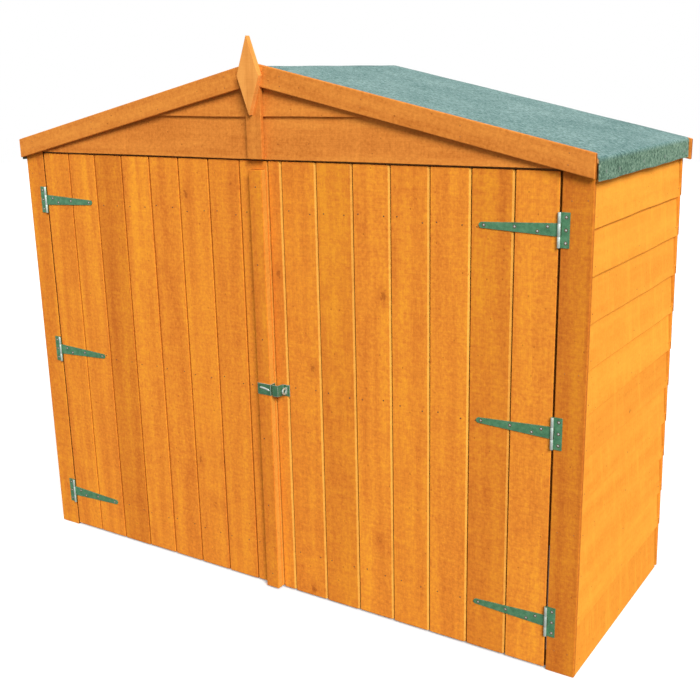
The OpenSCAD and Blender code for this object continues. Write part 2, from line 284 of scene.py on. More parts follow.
# %% Sawn timber
def sawn_timber(name, deep, middle, light, across_marks):
    """Dipped timber on a board's own grain map. Tone is a half plus weighted noises: long bands, blotches,
    fibres, saw marks and torn fuzz; across_marks is how strongly pale streaks cross the board."""
    finish, tree, shader = new_finish(name, gloss=0.08)
    grain = Wire.node(tree, "ShaderNodeUVMap", {"uv_map": "grain"})
    along = Wire.node(tree, "ShaderNodeSeparateXYZ", None, {0: grain})
    round_it = along.output("Y")
    own = Wire.node(tree, "ShaderNodeAttribute", {"attribute_name": "board"}).output("Fac")
    far = own * 61.0

    def spot(lengthwise, around, depth):
        """A place on the grain map, in waves to a metre along the grain and around the section."""
        return vector(tree, along * lengthwise, round_it * around, depth)

    bands = noise(tree, spot(1.3, 26.0, far), detail=2.0, rough=0.5)
    blotch = noise(tree, spot(9.0, 26.0, far + 3.0), detail=4.0, rough=0.62)
    fibre = noise(tree, spot(14.0, 420.0, far), detail=3.0, rough=0.6)
    saw = noise(tree, spot(170.0, 14.0, far), detail=3.0, rough=0.65)
    fuzz = noise(tree, spot(105.0, 115.0, far), detail=3.0, rough=0.7)
    streak = noise(tree, spot(38.0, 4.0, far + 7.0), detail=3.0, rough=0.6)
    tone = (bands - 0.5) * 0.9 + (blotch - 0.5) * 0.45 + (fibre - 0.5) * 0.35 + (saw - 0.5) * 0.35 + 0.5
    tone = tone + (fuzz - 0.5) * 1.05
    colour = ramp(tree, tone, (0.15, deep), (0.50, middle), (0.85, light))
    tint = ramp(tree, own, (0.0, (0.77, 0.70, 0.66)), (0.5, (0.99, 0.98, 0.98)), (1.0, (1.05, 1.09, 1.08)))
    colour = blend(tree, 1.0, colour, tint, "MULTIPLY")
    pale = tuple(min(1.0, part * 1.12) for part in light)
    colour = blend(tree, streak.ease(0.48, 0.75, 0.0, across_marks), colour, opaque(pale))

    wobble = (fuzz - 0.5) * 0.25
    knots = cells(tree, spot(7.5, 11.0, far * 3.0))
    kept = red_of(tree, knots.output("Color")).ease(0.78, 0.80)
    ruddy = (knots + wobble).ease(0.06, 0.36, 1.0, 0.0) * kept
    heart = (knots + wobble).ease(0.04, 0.11, 1.0, 0.0) * kept
    specks = cells(tree, spot(42.0, 60.0, far * 5.0))
    speck = specks.ease(0.06, 0.15, 1.0, 0.0) * red_of(tree, specks.output("Color")).ease(0.80, 0.82)
    dark = tuple(part * share for part, share in zip(deep, (0.52, 0.44, 0.5)))
    colour = blend(tree, ruddy * 0.5, colour, opaque(deep))
    colour = blend(tree, heart * 0.55, colour, opaque(dark))
    colour = blend(tree, speck * 0.55, colour, opaque(dark))
    height = fibre * 0.4 + saw * 0.6 + fuzz * 0.5 - heart * 0.3 - speck * 0.4
    relief = bumped(tree, height, strength=0.5, distance=0.0016)
    feed(tree, shader, Base_Color=colour, Roughness=fibre * 0.2 + 0.66, Normal=relief)
    return finish


# %% [markdown]
# The dip is the same on every board and only its depth of colour differs. Six finishes could be written out,
# but one function and six sets of shades keep them alike: doors, corner boards and cover strip; the walls,
# lighter partly as other boards and partly as painted sunlight; the gable and the trim under the roof; cut
# ends; planed bevels, whose shades also paint highlights on lit edges; and a dark colour that paints the
# shade inside the joints and gaps.

# %% Shades of timber
DEEP, MIDDLE, LIGHT = (0.63, 0.172, 0.022), (0.80, 0.258, 0.029), (0.95, 0.372, 0.030)
# The walls' shades are lighter than the doors': partly other boards, partly painted sunlight.
SUNLIT_WALL_SHADES = (0.84, 0.287, 0.028), (0.94, 0.347, 0.037), (0.98, 0.40, 0.044)
ROOF_SHADES = (0.58, 0.174, 0.024), (0.74, 0.252, 0.041), (0.88, 0.335, 0.055)
CUT_SHADES = (0.36, 0.088, 0.009), (0.52, 0.150, 0.015), (0.66, 0.22, 0.025)
# Planed shades: the real planed bevels, and also a painted highlight on lit sides and edges.
PLANED_AND_LIT_SHADES = (0.70, 0.28, 0.040), (0.82, 0.37, 0.058), (0.90, 0.45, 0.075)
# A dark colour for the walls of slits and gaps: painted shade.
JOINT_SHADE_COLOURS = (0.10, 0.030, 0.005), (0.17, 0.050, 0.008), (0.26, 0.080, 0.012)
trim_timber = sawn_timber("dipped_timber", DEEP, MIDDLE, LIGHT, across_marks=0.14)
wall_timber_painted_sunlit = sawn_timber("dipped_wall_painted_sunlit", *SUNLIT_WALL_SHADES, across_marks=0.5)
roof_timber = sawn_timber("weathered_trim", *ROOF_SHADES, across_marks=0.10)
cut_timber = sawn_timber("dipped_end_grain", *CUT_SHADES, across_marks=0.10)
planed_and_lit_timber = sawn_timber("planed_bevel_and_painted_highlight", *PLANED_AND_LIT_SHADES, across_marks=0.10)
joint_shade_timber = sawn_timber("painted_joint_shade", *JOINT_SHADE_COLOURS, across_marks=0.05)
BOARD_FINISHES = (cut_timber, planed_and_lit_timber, joint_shade_timber)
timbers = (trim_timber, wall_timber_painted_sunlit, roof_timber, *BOARD_FINISHES)
print("timber finishes:", [timber.name for timber in timbers])

# %% [markdown]
# A board is a section carried from one end to the other between two edge lines. A bevelled cube would do
# for a straight one, but sawn boards wander, gable boards have slanting ends and door boards have a
# V-joint, so both edges are arrays of points and the section is spread between them at every station.

# %% A board between two edge lines
def straight(start, end, count=24, nip=0.0015):
    """Points from start to end: evenly spaced, with one more close to each end where the arris is nipped."""
    start, end = np.asarray(start, float), np.asarray(end, float)
    share = np.linspace(0, 1, count)
    edge = nip / np.linalg.norm(end - start)
    share = np.concatenate([[0, edge], share[1:-1], [1 - edge, 1]])
    return start + share[:, None] * (end - start)


def board(low, high, thick, section, nip=0.0012):
    """One closed board: point = low edge + (width share + metres) across + (thickness share + metres)
    inward, at every station and section row; the first and last stations shrink by the nip. Returns points,
    quads, end faces, the grain map and each quad's kind of surface."""
    rows, row_kinds = section
    wide = np.linalg.norm(high - low, axis=1)
    across = (high - low) / wide[:, None]
    deep = float(np.linalg.norm(thick))
    inward = np.asarray(thick, float) / deep
    shrink = np.zeros(len(low))
    shrink[[0, -1]] = np.minimum(nip, 0.2 * wide[[0, -1]])
    a = rows[:, 0] * (wide - 2 * shrink)[:, None] + shrink[:, None] + rows[:, 1]
    b = rows[:, 2] * (deep - 2 * shrink)[:, None] + shrink[:, None] + rows[:, 3]
    points = low[:, None] + a[..., None] * across[:, None] + b[..., None] * inward
    stations, count = a.shape
    index = np.arange(stations * count).reshape(stations, count)
    near, far = index[:-1], index[1:]
    quads = np.stack([near, np.roll(near, -1, 1), np.roll(far, -1, 1), far], -1)
    ends = np.stack([index[0][::-1], index[-1]])
    length = points[-1].mean(0) - points[0].mean(0)
    u = points @ (length / np.linalg.norm(length))
    turned_u = np.roll(u, -1, 1)
    girth = np.linalg.norm(np.roll(points[stations // 2], -1, 0) - points[stations // 2], axis=1)
    v = np.concatenate([[0], np.cumsum(girth)])
    corners = [(u[:-1], v[:-1]), (turned_u[:-1], v[1:]), (turned_u[1:], v[1:]), (u[1:], v[:-1])]
    grain = np.stack([np.stack(np.broadcast_arrays(*pair), -1) for pair in corners], 2)
    end_grain = np.stack([np.stack([a[0], b[0]], -1)[::-1], np.stack([a[-1], b[-1]], -1)])
    kinds = np.tile(row_kinds, stations - 1)
    flat = points.reshape(-1, 3)
    first = flat[quads[0, 0]]
    if np.dot(np.cross(first[1] - first[0], first[3] - first[0]), inward) > 0:
        quads, ends = quads[..., ::-1], ends[:, ::-1]
        grain, end_grain = grain[:, :, ::-1], end_grain[:, ::-1]
    return flat, quads.reshape(-1, 4), ends, grain.reshape(-1, 2), end_grain.reshape(-1, 2), kinds


# %% [markdown]
# All boards of a door or wall become one piece, as they are nailed up together. They could stay separate
# objects, but one mesh is simpler to move with its door. Each board draws its own number and its own place
# on the grain from one seeded generator, so no two look alike and every run gives the same store.

# %% Boards joined into a piece
dice = np.random.default_rng(20)
SAWN, CUT, PLANED_AND_LIT, SHADED_JOINT = range(4)


def placed_piece(mesh, body, stands_for=()):
    """Puts a finished mesh into the scene as a piece that rides a body."""
    piece = bpy.data.objects.new(mesh.name, mesh)
    scene.collection.objects.link(piece)
    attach(piece, body)
    if stands_for:
        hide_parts(*stands_for)


def smoothed(mesh, degrees):
    """Smooth shading with sharp edges where faces meet at more than an angle."""
    mesh.polygons.foreach_set("use_smooth", np.ones(len(mesh.polygons), bool))
    mesh.set_sharp_from_angle(angle=math.radians(degrees))
    mesh.update()


def boarding(name, boards, body, finish, stands_for, tones=(0.1, 0.9)):
    """Joins boards into one piece with their grain maps, one number for each board, and cut and planed
    faces."""
    points, faces, maps, numbers, kinds, start = [], [], [], [], [], 0
    for flat, quads, ends, grain, end_grain, kind in boards:
        points.append(flat)
        faces += (quads + start).tolist() + (ends + start).tolist()
        maps += [grain + dice.random(2) * 5, end_grain + dice.random(2) * 5]
        numbers.append(np.full(len(flat), dice.uniform(*tones)))
        kinds += [kind, np.full(len(ends), CUT)]
        start += len(flat)
    mesh = bpy.data.meshes.new(name)
    mesh.from_pydata(np.concatenate(points).tolist(), [], faces)
    mesh.uv_layers.new(name="grain").data.foreach_set("uv", np.concatenate(maps).astype(np.float32).ravel())
    own = np.concatenate(numbers).astype(np.float32)
    mesh.attributes.new("board", "FLOAT", "POINT").data.foreach_set("value", own)
    mesh.polygons.foreach_set("material_index", np.concatenate(kinds).astype(np.int32))
    for each in (finish, *BOARD_FINISHES):
        mesh.materials.append(each)
    smoothed(mesh, degrees=12)
    print(name, len(boards), "boards,", len(mesh.polygons), "faces")
    placed_piece(mesh, body, (stands_for,))


# %% [markdown]
# Each door is a row of upright matchboards. A bump could draw the joints on a flat panel, but from the side
# they would be gone, so every board has a section of its own, with a bevel and a slit at each edge. The
# slits' walls are coloured dark, painted shade deep in the joints. On the right door the wide bevel of each
# joint faces the light and shows as a bright line; the left door is built the other way round and shows dark
# lines. Seven full boards are counted from the hinges, and the narrow one that is left over lies at the
# middle.

# %% Section of a matchboard
WIDE_BEVEL, NARROW_BEVEL = 0.0044, 0.0012


def jointed_section(low_edge, high_edge, tongue=0.62):
    """Rows of (share of width, metres, share of thickness, metres) round a matchboard whose edges are
    (bevel, slit, slit finish): a bevel on each edge of its face, a slit beside it as deep as the tongue, and
    a tongue that touches the next board. A dark slit finish is painted shade. Wide bevels are planed."""
    lip = 0.0004
    low_bevel, low_slit, low_slit_finish = low_edge
    high_bevel, high_slit, high_slit_finish = high_edge
    rows = [(0, low_slit + low_bevel, 0, 0), (0.5, 0, 0, 0), (1, -high_slit - high_bevel, 0, 0),
            (1, -high_slit, 0, high_bevel), (1, -high_slit, tongue, 0), (1, 0, tongue, 0), (1, 0, 1, -lip),
            (1, -lip, 1, 0), (0, lip, 1, 0), (0, 0, 1, -lip), (0, 0, tongue, 0), (0, low_slit, tongue, 0),
            (0, low_slit, 0, low_bevel)]
    kinds = np.zeros(len(rows), int)
    kinds[[3, 4]] = high_slit_finish
    kinds[[10, 11]] = low_slit_finish
    kinds[[2, 12]] = np.where(np.array([high_bevel, low_bevel]) > NARROW_BEVEL, PLANED_AND_LIT, SAWN)
    return np.array(rows), kinds


# %% Door boards
BOARD_FACE, FIRST_TRIM, FULL_BOARDS = 0.1097, 0.0023, 7
FACE_STEP, FOOT_STEP = 0.0008, 0.0015
EDGE_SLIT, LEFT_SLIT, RIGHT_SLIT = 0.0002, 0.0008, 0.0017
# A door's hinged side takes the dark joint colour, painted shade in the gap by the hinges; its meeting side
# takes the planed colour, painted light in the gap between the doors.
HINGED_EDGE, MEETING_EDGE = (NARROW_BEVEL, EDGE_SLIT, SHADED_JOINT), (NARROW_BEVEL, EDGE_SLIT, PLANED_AND_LIT)


def door_boards(name, hinged, meeting, low_joint, high_joint):
    """Matchboards of one door: joint number k lies k board faces from the hinged edge, less the first
    board's trim, and the last board ends at the meeting edge. Returns the joints' places."""
    (_, y0, z0), (_, y1, z1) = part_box(name + "_door_boards")
    way = np.sign(meeting - hinged)
    joints = hinged + way * (BOARD_FACE * np.arange(1, FULL_BOARDS + 1) - FIRST_TRIM)
    joints = np.sort([hinged, *joints, meeting])
    door_edges = {float(hinged): HINGED_EDGE, float(meeting): MEETING_EDGE}
    boards = []
    for x0, x1 in zip(joints[:-1], joints[1:]):
        low_edge = door_edges.get(float(x0), low_joint)
        high_edge = door_edges.get(float(x1), high_joint)
        y = y0 + dice.uniform(0, FACE_STEP)
        low_z = z0 + dice.uniform(0, FOOT_STEP)
        boards.append(board(straight((x0, y, low_z), (x0, y, z1)), straight((x1, y, low_z), (x1, y, z1)),
                            (0, y1 - y, 0), jointed_section(low_edge, high_edge)))
    boarding(name + "_matchboards", boards, name + "_door", trim_timber, name + "_door_boards")
    return joints


left_low, left_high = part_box("left_door_boards")
right_low, right_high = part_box("right_door_boards")
# The slit walls are darkened as painted shade: the left door's with the end-grain shades, the right door's
# with the dark joint colour.
left_joints = door_boards("left", left_low[0], left_high[0], (WIDE_BEVEL, LEFT_SLIT, CUT),
                          (NARROW_BEVEL, LEFT_SLIT, CUT))
right_joints = door_boards("right", right_high[0], right_low[0], (NARROW_BEVEL, RIGHT_SLIT, SHADED_JOINT),
                           (WIDE_BEVEL, RIGHT_SLIT, SHADED_JOINT))

# %% [markdown]
# The walls are overlap boards: each one leans out over the one below, so its lower edge throws a thin
# shadow. An Array modifier could repeat one board, but sawn edges wander and no two are alike, so each
# board is worked out by itself. The rows run along both sides and across the back, and the top ones in each
# gable are cut to the slope of the roof.

# %% Section and wander of an overlap board
def eased_section(ease):
    """The same rows for a plain board whose corners are eased."""
    nick = ease * 0.3
    rows = [(0, ease, 0, 0), (0.5, 0, 0, 0), (1, -ease, 0, 0), (1, -nick, 0, nick), (1, 0, 0, ease),
            (1, 0, 1, -ease), (1, -nick, 1, -nick), (1, -ease, 1, 0), (0.5, 0, 1, 0), (0, ease, 1, 0),
            (0, nick, 1, -nick), (0, 0, 1, -ease), (0, 0, 0, ease), (0, nick, 0, nick)]
    return np.array(rows), np.zeros(len(rows), int)


def waves(turns):
    """The sine of a number of whole turns."""
    return np.sin(2 * np.pi * turns)


def wander(count, size):
    """A slow random wave along a board: two sines of random phase that reach size together."""
    share = np.linspace(0, 1, count)
    phase = dice.random(2)
    return size * (0.6 * waves(1.2 * share + phase[0]) + 0.4 * waves(2.9 * share + phase[1]))


# %% [markdown]
# The boards have to stop where the roof begins. Its heights could be copied as numbers, but here they are
# worked out from the boxes of construction pieces, so that the boards follow the model: down from the
# bargeboards' peak by their upstand, the felt and the deck.

# %% Levels of the walls and the roof
PITCH = math.radians(12.7)
FALL, UPRIGHT = math.tan(PITCH), 1 / math.cos(PITCH)
LAPPED_THICK, SHOW, LAP, FIRST_SHOW = 0.008, 0.109, 0.026, 0.135
LAPPED_STATIONS, LAPPED_WANDER, LAPPED_EASE, REAR_STEP, PEAK_HALF = 36, 0.0012, 0.0014, 0.003, 0.004
WALL_REACH = LAPPED_THICK * (SHOW + LAP) / SHOW + LAPPED_THICK
HALF = float(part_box("right_corner_board")[1][0])
FRAME_OUT = HALF - WALL_REACH
UPSTAND, FELT_THICK, DECK_THICK, SEAT_GAP = 0.008, 0.003, 0.011, 0.0001
felt_peak = float(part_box("front_left_bargeboard")[1][2]) - UPSTAND
under_peak = felt_peak - (FELT_THICK + DECK_THICK) * UPRIGHT - SEAT_GAP
front_frame = float(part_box("front_posts")[0][1])
back_frame = float(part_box("back_posts")[1][1])
gable_edge = float(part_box("front_gable_cladding")[0][2])
print("underside of the roof at the peak", round(under_peak, 4))


def rows_of_boards(low, first_show, top):
    """Lower and upper heights of every lapped row up to a top edge: a row starts one show above the row
    below and ends one lap above the start of the next."""
    bottoms = np.concatenate([[low], np.arange(low + first_show, top - 2 * LAP, SHOW)])
    return list(zip(bottoms, np.append(bottoms[1:] + LAP, top)))


# %% Overlap boards on the sides
def lapped_board(ends_low, ends_high, thick):
    """One overlap board between the two ends of its lower and of its upper edge; all but the lowest edge
    wander."""
    low, high = straight(*ends_low, LAPPED_STATIONS), straight(*ends_high, LAPPED_STATIONS)
    if low[0, 2] > 0:
        low[:, 2] += wander(len(low), LAPPED_WANDER)
    return board(low, high, thick, eased_section(LAPPED_EASE))


# Side and back walls take the lighter wall shades, partly painted sunlight.
for name, way in (("left", -1), ("right", 1)):
    boards = []
    for z0, z1 in rows_of_boards(0.0, FIRST_SHOW, under_peak - HALF * FALL):
        low_x = way * (HALF - dice.uniform(0, FACE_STEP))
        high_x = way * (FRAME_OUT + LAPPED_THICK)
        rear = back_frame - dice.uniform(0, REAR_STEP)
        low_ends = [(low_x, front_frame, z0), (low_x, rear, z0)]
        high_ends = [(high_x, front_frame, z1), (high_x, rear, z1)]
        boards.append(lapped_board(low_ends, high_ends, (-way * LAPPED_THICK, 0, 0)))
    boarding(name + "_overlap_boards", boards, "store", wall_timber_painted_sunlit, name + "_side_cladding",
             tones=(0.4, 0.9))


# %% Overlap boards on the gables
def gable_boarding(name, face, way, low, first_show, reach, finish, stands_for):
    """Overlap boards across a gable wall: half their width at a height is the height left below the peak
    divided by the roof's fall, and at most the reach."""
    boards = []
    for z0, z1 in rows_of_boards(low, first_show, under_peak):
        x0, x1 = (max(PEAK_HALF, min(reach, (under_peak - z) / FALL)) for z in (z0, z1))
        y0, y1 = face + way * WALL_REACH, face + way * LAPPED_THICK
        boards.append(lapped_board([(-x0, y0, z0), (x0, y0, z0)], [(-x1, y1, z1), (x1, y1, z1)],
                                   (0, -way * LAPPED_THICK, 0)))
    boarding(name, boards, "store", finish, stands_for, tones=(0.25, 0.45))


gable_boarding("back_overlap_boards", back_frame, 1, 0.0, FIRST_SHOW, HALF, wall_timber_painted_sunlit, "back_cladding")
gable_boarding("gable_overlap_boards", front_frame, -1, gable_edge, SHOW, FRAME_OUT, roof_timber,
               "front_gable_cladding")

# %% [markdown]
# The trim is plain sawn board: corner boards beside the doors, bargeboards up the gables with a plumb cut
# at the peak, the strip that covers the doors' meeting line, and the stem under the finial. Bevelled cubes
# would do for the upright ones, but the same helper as before gives them all a grain map. In the photograph
# the trim is a shade darker than the doors, so its boards' numbers are drawn from the low end.

# %% Trim boards
TRIM_EASE = 0.0018
LOW_SIDE, HIGH_SIDE = 11, 4
# The corner boards' inner sides take the dark joint colour, painted shade in the gaps beside the doors.
for name, body, tones, side, kind in (("left_corner_board", "store", (0.25, 0.4), HIGH_SIDE, SHADED_JOINT),
                                      ("right_corner_board", "store", (0.0, 0.05), LOW_SIDE, SHADED_JOINT),
                                      ("cover_strip", "left_door", (0.2, 0.3), HIGH_SIDE, PLANED_AND_LIT)):
    (x0, y0, z0), (x1, y1, z1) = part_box(name)
    rows, kinds = eased_section(TRIM_EASE)
    # The chosen side's colour is painted light: shade in the corner boards' gaps, a highlight on the cover
    # strip's sunlit side.
    kinds[side] = kind
    upright = board(straight((x0, y0, z0), (x0, y0, z1)), straight((x1, y0, z0), (x1, y0, z1)),
                    (0, y1 - y0, 0), (rows, kinds))
    boarding(name + "_timber", [upright], body, trim_timber, name, tones)

for end in ("front", "back"):
    for side, way in (("left", -1), ("right", 1)):
        name = f"{end}_{side}_bargeboard"
        (x0, y0, z0), (x1, y1, z1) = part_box(name)
        tip = max(abs(x0), abs(x1))
        drop = z1 - z0 - tip * FALL
        face, thick = (y0, y1 - y0) if end == "front" else (y1, y0 - y1)
        low_edge = straight((0, face, z1 - drop), (way * tip, face, z0), count=40)
        high_edge = straight((0, face, z1), (way * tip, face, z0 + drop), count=40)
        sloped = board(low_edge, high_edge, (0, thick, 0), eased_section(TRIM_EASE))
        boarding(name + "_timber", [sloped], "store", roof_timber, name, tones=(0.3, 0.4))

(x0, y0, z0), (x1, y1, z1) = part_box("finial_stem")
shoulder = z1 - x1 * FALL
stem = board(straight((x0, y0, z0), (x0, y0, shoulder)), straight((x1, y0, z0), (x1, y0, shoulder)),
             (0, y1 - y0, 0), eased_section(TRIM_EASE))
boarding("finial_stem_timber", [stem], "store", roof_timber, "finial_stem", tones=(0.2, 0.3))

# %% [markdown]
# The frame, ledges, braces, roof deck and finial keep their construction solids with slightly eased edges.
# They have no map of their own, so their timber is worked out from Object coordinates, stretched along each
# piece's grain.

# %% Frame timber
def stretched(tree, place, scales):
    """A place multiplied by one scale for each axis."""
    return Wire.node(tree, "ShaderNodeVectorMath", {"operation": "MULTIPLY"}, {0: place, 1: scales})


def timber_along(name, axis, deep, middle, light):
    """Sawn timber on Object coordinates: noises stretched along one axis for grain and squeezed for saw
    marks."""
    finish, tree, shader = new_finish(name, gloss=0.1)
    place = Wire.node(tree, "ShaderNodeTexCoord").output("Object")
    grain_scales = [38.0 if k != axis else 1.8 for k in range(3)]
    mark_scales = [16.0 if k != axis else 330.0 for k in range(3)]
    bands = noise(tree, stretched(tree, place, grain_scales), scale=1.0, detail=3.0, rough=0.55)
    fibre = noise(tree, stretched(tree, place, grain_scales), scale=9.0, detail=3.0, rough=0.6)
    saw = noise(tree, stretched(tree, place, mark_scales), scale=1.0, detail=3.0, rough=0.65)
    blotch = noise(tree, place, scale=16.0, detail=4.0, rough=0.6)
    specks = cells(tree, place, 46.0)
    speck = specks.ease(0.08, 0.2, 1.0, 0.0) * red_of(tree, specks.output("Color")).ease(0.9, 0.92)
    tone = (bands - 0.5) * 1.1 + (fibre - 0.5) * 0.35 + (blotch - 0.5) * 0.6 + (saw - 0.5) * 0.35 + 0.5
    colour = ramp(tree, tone, (0.18, deep), (0.5, middle), (0.82, light))
    colour = blend(tree, speck * 0.5, colour, opaque(tuple(part * 0.5 for part in deep)))
    height = fibre * 0.5 + saw * 0.6
    relief = bumped(tree, height, strength=0.4, distance=0.0012)
    feed(tree, shader, Base_Color=colour, Roughness=fibre * 0.2 + 0.66, Normal=relief)
    return finish


PALE_SHADES = (0.42, 0.185, 0.050), (0.60, 0.31, 0.105), (0.74, 0.44, 0.18)
FINIAL_SHADES = (0.66, 0.23, 0.042), (0.84, 0.34, 0.072), (0.95, 0.43, 0.10)
frame_timber = [timber_along("frame_timber_" + "xyz"[k], k, *PALE_SHADES) for k in range(3)]
door_timber = timber_along("dipped_frame_x", 0, DEEP, MIDDLE, LIGHT)
print("frame finishes:", [timber.name for timber in (*frame_timber, door_timber)])

# %% [markdown]
# Sawn edges aren't knife-sharp. A solid comes as loose triangles, so it is welded first, and then a small
# bevel rounds its edges and leaves the construction sizes as they are.

# %% Frame pieces
def eased_edges(piece, size, rim=-1):
    """Welds a construction solid's triangles and rounds its edges; rim is the finish of the rounded edge."""
    piece.modifiers.new("weld", "WELD").merge_threshold = 0.00005
    bevel = piece.modifiers.new("eased", "BEVEL")
    bevel.limit_method = "ANGLE"
    bevel.angle_limit = math.radians(35)
    bevel.width = size
    bevel.segments = 2
    bevel.material = rim


def dress(piece, *finishes):
    """Gives a construction piece its finishes."""
    piece.data.materials.clear()
    for finish in finishes:
        piece.data.materials.append(finish)


ALONG_X = ("back_bottom_rail", "back_tie", "door_head", "front_sill", "front_rafters", "back_rafters")
ALONG_Y = ("left_bottom_rail", "right_bottom_rail", "left_top_rail", "right_top_rail", "ridge_purlin",
           "left_roof_deck", "right_roof_deck", "eaves_strips")
ALONG_Z = ("front_posts", "back_posts", "side_studs", "back_studs")
ON_DOORS = ("left_door_ledges", "left_door_braces", "right_door_ledges", "right_door_braces")
FRAME_EASE = 0.0012
for axis, names in enumerate((ALONG_X, ALONG_Y, ALONG_Z)):
    for name in names:
        dress(node[name], frame_timber[axis])
        eased_edges(node[name], FRAME_EASE)
for name in ON_DOORS:
    dress(node[name], door_timber)
    eased_edges(node[name], FRAME_EASE)
dress(node["finial"], timber_along("finial_timber", 2, *FINIAL_SHADES))
eased_edges(node["finial"], FRAME_EASE)
print("frame pieces dressed:", len(ALONG_X + ALONG_Y + ALONG_Z + ON_DOORS) + 1)

# %% [markdown]
# The roof is one sheet of green mineral felt, laid over the ridge and folded down at both eaves. Its
# granules are crushed slate, far too many to model, so cells and noise colour them and a bump lifts them.
# They are pale on the flat; where the sheet is folded the dark bitumen shows between them.

# %% Mineral granules
GRIT_STOPS = 0.12, 0.5, 0.88
FLAT_SHADES = (0.058, 0.136, 0.126), (0.148, 0.262, 0.245), (0.29, 0.41, 0.39)
FOLD_SHADES = (0.040, 0.078, 0.050), (0.128, 0.226, 0.146), (0.27, 0.39, 0.28)


def granules(name):
    """Mineral granules on Object coordinates: cells and noise for grit, slow patches, and a darker fold
    that follows the sheet's own number for how far it hangs."""
    finish, tree, shader = new_finish(name, gloss=0.15)
    place = Wire.node(tree, "ShaderNodeTexCoord").output("Object")
    coarse, fine = cells(tree, place, 190.0), cells(tree, place, 480.0)
    grit = noise(tree, place, scale=120.0, detail=3.0, rough=0.7)
    patch = noise(tree, place, scale=7.0, detail=4.0, rough=0.6)
    big, small = red_of(tree, coarse.output("Color")), red_of(tree, fine.output("Color"))
    tone = (big - 0.5) * 0.42 + (small - 0.5) * 0.30
    tone = tone + (grit - 0.5) * 1.0 + (patch - 0.5) * 0.55 + 0.5
    flat = ramp(tree, tone, *zip(GRIT_STOPS, FLAT_SHADES))
    bent = ramp(tree, tone, *zip(GRIT_STOPS, FOLD_SHADES))
    hang = Wire.node(tree, "ShaderNodeAttribute", {"attribute_name": "hang"}).output("Fac")
    colour = blend(tree, hang.ease(0.02, 0.30, 0.0, 0.9), flat, bent)
    relief = bumped(tree, coarse * 0.4 + grit * 0.8, strength=0.7, distance=0.0016)
    feed(tree, shader, Base_Color=colour, Roughness=grit * 0.15 + 0.80, Normal=relief)
    return finish


# %% [markdown]
# The sheet is a ribbon: a line across the roof with rounded folds, carried along the ridge, and the same
# line one thickness inside. A cloth simulation could fold it too, but nailed felt hardly moves, and a
# formula gives the same sheet every time.

# %% Line across the roof
FOLD_RADIUS, RIDGE_NEAR, RIDGE_EASE, STATIONS = 0.010, 0.05, 0.006, 70
NEAR_POINTS, SLOPE_POINTS, ARC_POINTS, DROP_POINTS = 6, 60, 8, 8
ARC_HANG, DROP_HANG = (0.02, 0.2), (0.3, 1.0)
(_, felt_front, felt_low), (felt_skin, felt_back, _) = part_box("roof_felt")


def half_roof_line():
    """The felt's outer line from the ridge to one eaves: a slope eased at the ridge, an arc that turns it
    upright, and the drop. Gives (x, z) points and how far each one hangs, from 0 on the slope to 1 at the
    lower edge."""
    tangent = FOLD_RADIUS * math.tan((math.pi / 2 - PITCH) / 2)
    corner = np.array([felt_skin, felt_peak - felt_skin * FALL])
    start = corner - tangent * np.array([math.cos(PITCH), -math.sin(PITCH)])
    near = np.linspace(0, RIDGE_NEAR, NEAR_POINTS + 1)[:-1]
    x = np.concatenate([near, np.linspace(RIDGE_NEAR, start[0], SLOPE_POINTS)])
    slope = np.stack([x, felt_peak - FALL * np.sqrt(x ** 2 + RIDGE_EASE ** 2)], -1)
    angle = np.linspace(PITCH, math.pi / 2, ARC_POINTS + 1)[1:]
    centre = start - FOLD_RADIUS * np.array([math.sin(PITCH), math.cos(PITCH)])
    arc = centre + FOLD_RADIUS * np.stack([np.sin(angle), np.cos(angle)], -1)
    heights = np.linspace(arc[-1, 1], felt_low, DROP_POINTS + 1)[1:]
    drop = np.stack([np.full(DROP_POINTS, felt_skin), heights], -1)
    hang = np.concatenate([np.zeros(len(slope)), np.linspace(*ARC_HANG, ARC_POINTS),
                           np.linspace(*DROP_HANG, DROP_POINTS)])
    return np.concatenate([slope, arc, drop]), hang


right_line, right_hang = half_roof_line()
roof_line = np.concatenate([right_line[:0:-1] * [-1, 1], right_line])
hang = np.concatenate([right_hang[:0:-1], right_hang])
print("felt line:", len(roof_line), "points")

# %% [markdown]
# Laid felt is never quite flat. It could be sculpted by hand, but products of slow sines are the same on
# every run: they lift the hanging edges, dip the slopes a little, and leave the lower edge uneven, as a
# knife does.

# %% Waves in the felt
run = np.gradient(roof_line, axis=0)
outward = np.stack([-run[:, 1], run[:, 0]], -1) / np.linalg.norm(run, axis=1)[:, None]
share = np.linspace(0, 1, STATIONS)[:, None]
across = roof_line[:, 0]
side_phase = 0.3 * np.sign(across)
RIPPLE, RAGGED, SLACK, HIGHEST = 0.0007, 0.0012, 0.0006, 0.0003
ripple = RIPPLE * hang * (1 + waves(5.3 * share + 0.2) * waves(1.7 * share + side_phase))
cut = RAGGED * hang ** 3 * waves(3.4 * share + side_phase) * np.sin(2 * np.pi * 1.3 * share + 0.6)
slack = SLACK * (1 - hang) * waves(3.1 * share + 2.3 * across) * waves(1.9 * across + 0.1)
outer = roof_line + (ripple + np.minimum(slack, HIGHEST))[..., None] * outward
outer[..., 1] += cut
ring = np.concatenate([outer, (outer - FELT_THICK * outward)[:, ::-1]], 1)
along = np.broadcast_to(np.linspace(felt_front, felt_back, STATIONS)[:, None], ring.shape[:2])
points = np.stack([ring[..., 0], along, ring[..., 1]], -1).reshape(-1, 3)
print("felt lifts up to", round(1000 * float(ripple.max()), 2), "mm")

# %% [markdown]
# The outer and the inner line together are one ring of points at every station. A Solidify modifier could
# add the thickness instead, but with the ring the sheet is closed from the start: quads join ring to ring,
# and a strip of quads closes each end.

